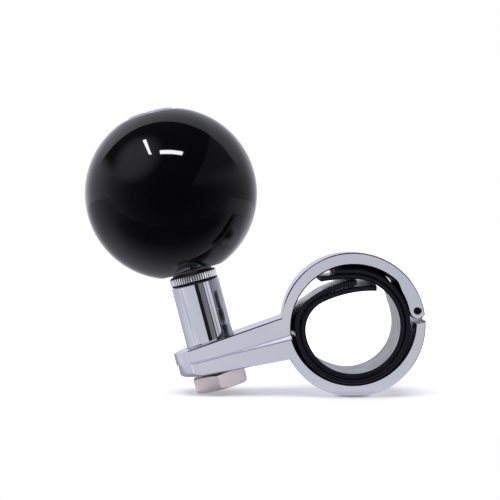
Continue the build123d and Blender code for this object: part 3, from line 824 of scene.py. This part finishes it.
class SPINNER_OT_strips(bpy.types.Operator):
    """Build the two rubber strips: a rounded, grooved section carried along a path of arcs"""

    bl_idname = "spinner.strips"
    bl_label = "Rubber strips"

    def execute(self, context):
        scene = context.scene
        settings = scene.spinner_rubber
        rubber = rubber_finish(settings)
        cut = plain_finish("cut_rubber", CUT_RUBBER, 0.55)
        centre = RING_CENTRE + settings.shift_along * ALONG + settings.shift_up * UP
        low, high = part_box("outer_strip")
        outer = centre[2] - low.z - settings.thickness / 2
        inner = outer - settings.thickness - settings.gap
        shapes = (
            ("outer_strip", outer, scene.spinner_outer_strip),
            ("inner_strip", inner, scene.spinner_inner_strip),
        )
        for node, middle, shape in shapes:
            points = self.strip(centre, middle, high.y - low.y, settings, shape)
            piece = surface(node.replace("strip", "rubber"), points, wrap_columns=True, caps=True, sharp=45)
            finish_piece(piece, "lower_clamp", "rubber", rubber, node)
            piece.data.materials.append(cut.material)
            sides = np.array([len(face.vertices) for face in piece.data.polygons])
            piece.data.polygons.foreach_set("material_index", (sides > 4).astype(np.int32))
        return {"FINISHED"}

    def path(self, middle, lap_angle, shape):
        """Points and headings of a strip's middle line, from its free end to its tail, in the strip's
        plane. It is four arcs end to end, each bent to the right: the heading falls evenly by each
        arc's angle, and each step is the chord, twice the radius times the sine of half its turn."""
        arcs = (
            (shape.end * middle, shape.end_angle, 12),
            (middle, lap_angle + FULL_TURN - shape.open_angle, 220),
            (shape.curl * middle, shape.curl_angle, 40),
            (shape.tail * middle, shape.tail_angle, 40),
        )
        turn = np.concatenate([np.full(steps, angle / steps) for _, angle, steps in arcs])
        radius = np.concatenate([np.full(steps, reach) for reach, _, steps in arcs])
        chord = 2 * radius * np.sin(turn / 2)
        first = lap_angle - math.pi / 2 + shape.end_angle
        heading = first - np.concatenate(((0,), np.cumsum(turn)))
        moves = chord[:, None] * towards(heading[:-1] - turn / 2)
        points = np.vstack(((0, 0), np.cumsum(moves, axis=0)))
        free_end = arcs[0][2]
        return points + middle * towards(lap_angle) - points[free_end], heading

    def section(self, width, settings):
        """The section's outline: how far out from the middle line, and how deep along the ring's axis.
        Its inner face dips into shallow grooves, each half a sine wave cut off flat."""
        half, ease = settings.thickness / 2, settings.edge_round
        edge = width / 2
        corner = rounded(((-half, -edge), (half, -edge), (half, edge), (-half, edge)), ease, steps=5)
        depth = np.linspace(-edge + ease, edge - ease, 56)[1:-1]
        wave = np.sin((depth / width + 0.5) * math.pi * (2 * settings.groove_count + 1))
        dip = settings.groove_depth * np.clip(-wave * 3, 0, 1)
        outer = np.column_stack((np.full_like(depth, half), depth))
        inner = np.column_stack((-half + dip, depth))
        return np.vstack((corner[:10], outer, corner[10:], inner[::-1]))

    def strip(self, centre, middle, width, settings, shape):
        """Points of a strip: path point plus the section's height along the path's left hand normal,
        and its depth along the ring's axis. The back leans out by the flare where the bore leaves
        room. Both ends are eased by sections drawn in towards their own middle."""
        points, heading = self.path(middle, settings.lap_angle, shape)
        out, depth = self.section(width, settings).T
        draw = 0.12 * settings.thickness * np.array((1.0, 0.45, 0.12, 0.0))
        near = points[0] + draw[::-1, None] * towards(heading[0])
        far = points[-1] - draw[:, None] * towards(heading[-1])
        points = np.vstack((near, points[2:-2], far))
        heading = np.concatenate((np.full(4, heading[0]), heading[2:-2], np.full(4, heading[-1])))
        inset = np.concatenate((draw, np.zeros(len(points) - 8), draw[::-1]))[:, None]
        around = np.degrees(np.arctan2(points[:, 1], points[:, 0])) % 360
        room = np.interp(around, FLARE_ANGLES, FLARE_SHARES)
        lean = settings.flare * room[:, None] * (depth / width + 0.5)[None, :]
        out = out[None, :] * (1 - inset / (settings.thickness / 2)) + lean
        depth = depth[None, :] * (1 - inset / (width / 2))
        place = points[:, None] + towards(heading + math.pi / 2)[:, None] * out[..., None]
        return centre + place @ (ALONG, UP) + depth[..., None] * DEPTH


def smooth_node(piece, limit):
    """Modifiers that merge a CAD node's loose triangles and shade it smooth up to an angle."""
    weld = piece.modifiers.new("weld", "WELD")
    weld.merge_threshold = 1e-6
    group = bpy.data.node_groups.get(f"smooth_{limit}") or smooth_group(limit)
    smooth = piece.modifiers.new("smooth", "NODES")
    smooth.node_group = group
    weighted = piece.modifiers.new("weighted", "WEIGHTED_NORMAL")
    weighted.keep_sharp = True
    weighted.weight = 50


def smooth_group(limit):
    """A node group that shades all faces smooth and marks the edges over an angle as sharp."""
    group = bpy.data.node_groups.new(f"smooth_{limit}", "GeometryNodeTree")
    for way in ("INPUT", "OUTPUT"):
        group.interface.new_socket("Geometry", in_out=way, socket_type="NodeSocketGeometry")
    tree = Nodes(group)
    angle = tree.node("GeometryNodeInputMeshEdgeAngle").outputs["Unsigned Angle"]
    flat = tree.node("FunctionNodeCompare", (angle, math.radians(limit)), operation="LESS_EQUAL")
    whole = tree.node("NodeGroupInput").outputs[0]
    faces = tree.node("GeometryNodeSetShadeSmooth", {"Geometry": whole})
    terms = {"Geometry": faces.outputs[0], "Shade Smooth": flat.outputs[0]}
    edges = tree.node("GeometryNodeSetShadeSmooth", terms, domain="EDGE")
    tree.node("NodeGroupOutput", (edges.outputs[0],))
    return group


def finish_nodes(nodes, finish, limit=40):
    """Smooths CAD nodes up to an angle in degrees and gives them one material."""
    for node in nodes:
        smooth_node(frame["nodes"][node], limit)
        coat(frame["nodes"][node], finish)


class SPINNER_OT_jaws(bpy.types.Operator):
    """Finish the two jaws of the clamp: polished castings, plated"""

    bl_idname = "spinner.jaws"
    bl_label = "Clamp jaws"

    def execute(self, context):
        settings = context.scene.spinner_chrome
        for node, hinge in (("upper_jaw", 0.0), ("lower_jaw", 1.0)):
            # The jaws' plating carries painted shade in the bore and under the hinge, and a painted sheen on
            # the turned face
            chrome = jaw_finish_painted_shade_and_sheen(f"{node}_chrome", settings, hinge, lines=0.05)
            finish_nodes((node,), chrome, limit=30)
        return {"FINISHED"}


class SPINNER_OT_bearings(bpy.types.Operator):
    """Finish the spindle, its insert, the clips, the spacers and the two ball bearings"""

    bl_idname = "spinner.bearings"
    bl_label = "Spindle and bearings"

    def execute(self, context):
        settings = context.scene.spinner_fasteners
        steel = steel_finish("spindle_steel", settings.steel_colour, 0.3)
        ground = steel_finish("race_steel", RACE_STEEL, 0.16)
        bronze = steel_finish("insert_bronze", INSERT_BRONZE, 0.4)
        moulded = plain_finish("cage_moulding", CAGE_MOULDING, 0.5)
        shafts = ("spindle", "spindle_clip", "housing_clip", "bearing_spacer", "race_spacer")
        finish_nodes(shafts, steel)
        finish_nodes(("ball_insert",), bronze)
        for bearing in ("upper_bearing", "lower_bearing"):
            hard = [f"{bearing}_{piece}" for piece in ("outer_race", "inner_race", "balls", "shields")]
            finish_nodes(hard, ground)
            finish_nodes((f"{bearing}_cage",), moulded)
        return {"FINISHED"}


def linked(name, pieces):
    """A collection of pieces for a lamp's light linking."""
    group = bpy.data.collections.new(name)
    for piece in pieces:
        group.objects.link(piece)
    return group


def panel_light(name, corner, across, up, level, colour, only, unblocked=()):
    """A rectangular lamp from one corner and its two sides. It shines to the side that across
    turned to up points at, and its level is its surface's brightness. It is unseen by the camera.
    It lights only some pieces, and the unblocked ones throw no shadow of it."""
    corner, across, up = (np.array(value, float) for value in (corner, across, up))
    wide, high = np.linalg.norm(across), np.linalg.norm(up)
    lamp = bpy.data.lights.new(name, "AREA")
    lamp.shape = "RECTANGLE"
    lamp.size, lamp.size_y = wide, high
    lamp.color = colour
    lamp.energy = level * math.pi * wide * high
    panel = new_object(name, lamp)
    away = -np.cross(across / wide, up / high)
    turn = Matrix((-across / wide, up / high, away)).transposed()
    panel.matrix_world = Matrix.Translation(corner + across / 2 + up / 2) @ turn.to_4x4()
    panel.visible_camera = False
    panel.light_linking.receiver_collection = linked(name + "_lit", only)
    if unblocked:
        blockers = linked(name + "_unblocked", unblocked)
        panel.light_linking.blocker_collection = blockers
        for entry in blockers.collection_objects:
            entry.light_linking.link_state = "EXCLUDE"


class SPINNER_OT_stage(bpy.types.Operator):
    """Build the table, the camera, the pale surroundings and the lights"""

    bl_idname = "spinner.stage"
    bl_label = "Stage"

    def execute(self, context):
        settings = context.scene.spinner_stage
        self.camera(context.scene, settings)
        self.table(settings)
        self.surroundings(context.scene, settings)
        self.lights(context.scene, settings)
        context.scene.view_settings.view_transform = "Standard"
        return {"FINISHED"}

    def camera(self, scene, settings):
        """The camera at the photograph's place."""
        data = bpy.data.cameras.new("camera")
        data.sensor_width = 36
        data.lens = settings.focal * data.sensor_width / 500
        data.clip_start, data.clip_end = 0.01, 10
        camera = new_object("camera", data)
        camera.location = (settings.across, -settings.distance, settings.height)
        camera.rotation_euler = (math.radians(90) - settings.pitch, 0, settings.yaw)
        scene.camera = camera

    def table(self, settings):
        """The table: a pale sheet. The camera sees it fade to white away from the part, and the
        polished pieces see it fade to dark in front, as the photographer's table did."""
        low, high, front = -0.9, 0.9, -0.075
        mesh = bpy.data.meshes.new("table")
        corners = [(low, front, 0), (high, front, 0), (high, high, 0), (low, high, 0)]
        mesh.from_pydata(corners, [], [(0, 1, 2, 3)])
        table = new_object("table", mesh)
        finish = Finish("table_pale", settings.table_colour, 0.9)
        finish.set("Specular IOR Level", 0.0)
        x, y, _ = finish.split(finish.place)
        away = finish("SQRT", finish.weighted((x, x), (y, y)))
        path = finish.node("ShaderNodeLightPath")
        glow = finish.ease(away, 0.05, 0.2, settings.table_glow, 1.0)
        finish.set("Emission Color", WHITE)
        finish.set("Emission Strength", finish("MULTIPLY", path.outputs["Is Camera Ray"], glow))
        near = finish.ease(y, -0.045, 0.015, 0.03, 0.5)
        far = finish.steps(finish("DIVIDE", y, away), SURROUNDINGS)
        level = finish.blend(finish.ease(away, 0.05, 0.2), near, far)
        seen = finish.node("ShaderNodeEmission", (settings.backdrop_colour, level))
        shaders = (path.outputs["Is Glossy Ray"], finish.shader.outputs[0], seen.outputs[0])
        mix = finish.node("ShaderNodeMixShader", shaders)
        finish.feed(finish.tree.nodes["Material Output"].inputs["Surface"], mix.outputs[0])
        coat(table, finish)

    def surroundings(self, scene, settings):
        """The world: white to the camera. To the part it is pale behind and dim beside, with a pale
        panel overhead at the back whose front edge bows back to both sides, dark in front, and
        with one soft patch of light high on the left."""
        world = bpy.data.worlds.new("surroundings")
        scene.world = world
        world.use_nodes = True
        sky = Nodes(world.node_tree)
        x, y, z = sky.split(sky.node("ShaderNodeTexCoord").outputs["Generated"])
        yz, zz, xz, xx = (sky("MULTIPLY", *pair) for pair in ((y, z), (z, z), (x, z), (x, x)))
        edge = sky.weighted((yz, 1.0), (zz, -0.32), (xz, 0.06), (xx, -0.16))
        panel = sky.ease(edge, -0.006, 0.006, 0.03, 0.62)
        dome = sky.blend(sky.ease(z, 0.3, 0.5), sky.steps(y, SURROUNDINGS), panel)
        dimmed = sky("MULTIPLY", dome, sky("MULTIPLY_ADD", x, -0.45, 1.0))
        patch = sky.ease(sky.weighted((x, -0.62), (y, -0.43), (z, 0.655)), 0.82, 1.0, 0.0, 0.52)
        side = sky.ease(sky.weighted((x, 1.0), (y, 0.46), (z, -0.75)), -0.02, 0.03, 0.0, 0.1)
        side = sky("MULTIPLY", side, sky.ease(z, 0.05, 0.3))
        total = sky("ADD", dimmed, sky("ADD", patch, side))
        terms = {"Vector": settings.backdrop_colour, "Scale": total}
        tint = sky.node("ShaderNodeVectorMath", terms, operation="SCALE").outputs["Vector"]
        seen = sky.node("ShaderNodeLightPath").outputs["Is Camera Ray"]
        sky.feed(sky.tree.nodes["Background"].inputs["Color"], sky.mix(seen, tint, WHITE))

    def lights(self, scene, settings):
        """Two strip lamps high over the ball, cards in front of the castings and close to single
        pieces, a lamp over the table, and narrow panels beside the post, whose edges stand parallel
        to the stud axis."""
        pieces, nodes = bpy.data.objects, frame["nodes"]
        ball, badge, table, nut = (pieces[name] for name in ("ball", "badge", "table", "hex_nut"))
        knurl = pieces["knurled_ring_chrome"]
        jaws = [nodes["upper_jaw"], nodes["lower_jaw"]]
        plated = [*jaws, nodes["spindle"], nodes["ball_insert"]]
        plated += [pieces["pin"], pieces["threaded_stud"], nut, pieces["washer"]]
        rubber = [pieces["outer_rubber"], pieces["inner_rubber"]]
        over, bright = 0.5, 22
        strips = (
            ("strip_left", (-0.522, -0.785), (0.068, 0.585)),
            ("strip_front", (-0.225, -0.84), (0.57, 0.15)),
        )
        for name, (left, ahead), (wide, long) in strips:
            corner = FOOT + BALL_CENTRE * UP + over * np.array((left, ahead, 1.0))
            panel_light(name, corner, (0, over * long, 0), (over * wide, 0, 0), bright, WHITE, (ball, badge))
        front = settings.card_level
        cards = (
            ("front_card", (0.45, -0.9, -0.45), (-1.35, 0, 0), (0, 0, 1.15), front, COOL, plated),
            ("arm_card", (-0.01, -0.88, -0.45), (-0.87, 0, 0), (0, 0, 1.15), 0.1, COOL, plated),
            ("table_lamp", (-0.5, -0.6, 0.9), (0, 0.8, 0), (1, 0, 0), 3.4, WHITE, [table], ball, badge),
            ("nose_card", (-0.0285, -0.0165, 0.0005), (-0.0215, 0.0365, 0), (0, 0, 0.04), 0.36, COOL, jaws),
            ("under_card", (0, -0.015, 0.0006), (0.06, 0, 0), (0, 0.04, 0), 0.4, COOL, jaws[1:]),
            ("gap_card", (-0.035, 0.2, 0), (0.07, 0, 0), (0, 0, 0.12), 0.85, COOL, jaws[1:], jaws[0]),
            ("badge_card", (-0.4, -0.6, 0.5), (0, 0.6, 0), (0.7, 0, 0), 1.0, COOL, [badge]),
            ("apron", (-0.06, -0.075, 0.0008), (0.125, 0, 0), (0, 0.06, 0), 0.62, COOL, jaws),
            ("nut_floor", (-0.07, -0.045, 0.0006), (0.052, 0, 0), (0, 0.045, 0), 0.4, WARM, [nut]),
            ("nut_left", (-0.052, -0.179, 0.001), (-0.18, 0.18, 0), (0, 0, 0.14), 0.6, WARM, [nut]),
            ("nut_right", (0.045, -0.03, 0.001), (-0.055, -0.02, 0), (0, 0, 0.035), 1.0, WARM, [nut]),
            ("rubber_card", (0.3, -0.7, -0.2), (-0.5, 0, 0), (0, 0, 0.5), 0.35, BLUEISH, rubber),
        )
        for name, corner, across, up, level, colour, only, *unblocked in cards:
            panel_light(name, corner, across, up, level, colour, only, unblocked)
        post = [pieces["post"], knurl, pieces["washer"]]
        panels = (
            ("post_edge", -0.92, -0.8, 0.18, post),
            ("post_far_left", -0.8, -0.7, 0.27, post),
            ("post_left", -0.7, -0.55, 0.48, post),
            ("post_front", -0.55, -0.005, 0.66, post),
            ("post_grey", 0.15, 0.33, 0.17, post),
            ("post_light", 0.37, 0.45, 0.55, post),
            ("post_bright", 0.47, 0.58, 0.6, post),
            ("knurl_right", -0.1, 0.9, 0.8, [knurl]),
        )
        for panel in panels:
            self.post_panel(scene.camera.location, *panel)

    def post_panel(self, camera, name, start, end, level, only):
        """A panel beside the post that shows in it from one place to another across its width, where
        -1 is its left edge and 1 its right. A place there is the sine of the angle at which the
        post faces; the light leaves it at twice that angle, less the camera's own."""
        reach = radius_of("post_housing")
        gap, drop, tall = 0.025, 0.011, 0.038
        front = math.radians(90)
        seen = math.atan2(camera.x - FOOT[0], FOOT[1] - camera.y)
        ends = []
        for place in (start, end):
            facing = math.asin(place)
            leaving = 2 * facing - seen
            spot = reach * towards(facing - front) + gap * towards(leaving - front)
            ends.append(FOOT + spot @ (ALONG, DEPTH) - drop * UP)
        panel_light(name, ends[1], ends[0] - ends[1], tall * UP, level, COOL, only)


class SPINNER_PT_panel(bpy.types.Panel):
    """The spinner knob's pieces and sizes"""

    bl_idname = "SPINNER_PT_panel"
    bl_label = "Spinner Knob"
    bl_space_type = "VIEW_3D"
    bl_region_type = "UI"
    bl_category = "Spinner Knob"

    def draw(self, context):
        for operator in OPERATORS:
            self.layout.operator(operator.bl_idname)
        for name, group in SETTINGS.items():
            box = self.layout.box()
            box.label(text=group.__doc__)
            for prop in group.__annotations__:
                box.prop(getattr(context.scene, name), prop)


SETTINGS = {
    "spinner_ball": BallSettings,
    "spinner_chrome": ChromeSettings,
    "spinner_fasteners": FastenerSettings,
    "spinner_rubber": RubberSettings,
    "spinner_outer_strip": OuterStripSettings,
    "spinner_inner_strip": InnerStripSettings,
    "spinner_stage": StageSettings,
}
OPERATORS = (
    SPINNER_OT_ball,
    SPINNER_OT_knurled_ring,
    SPINNER_OT_post,
    SPINNER_OT_fasteners,
    SPINNER_OT_jaws,
    SPINNER_OT_strips,
    SPINNER_OT_bearings,
    SPINNER_OT_stage,
)


def register():
    """Adds the settings, the operators and the panel."""
    for name, group in SETTINGS.items():
        bpy.utils.register_class(group)
        setattr(bpy.types.Scene, name, PointerProperty(type=group))
    for operator in OPERATORS:
        bpy.utils.register_class(operator)
    bpy.utils.register_class(SPINNER_PT_panel)


def unregister():
    """Takes them off again."""
    bpy.utils.unregister_class(SPINNER_PT_panel)
    for operator in reversed(OPERATORS):
        bpy.utils.unregister_class(operator)
    for name, group in reversed(SETTINGS.items()):
        delattr(bpy.types.Scene, name)
        bpy.utils.unregister_class(group)


def main():
    """Builds everything."""
    register()
    bpy.ops.spinner.ball()
    bpy.ops.spinner.knurled_ring()
    bpy.ops.spinner.post()
    bpy.ops.spinner.fasteners()
    bpy.ops.spinner.jaws()
    bpy.ops.spinner.strips()
    bpy.ops.spinner.bearings()
    bpy.ops.spinner.stage()


if __name__ == "__main__":
    main()
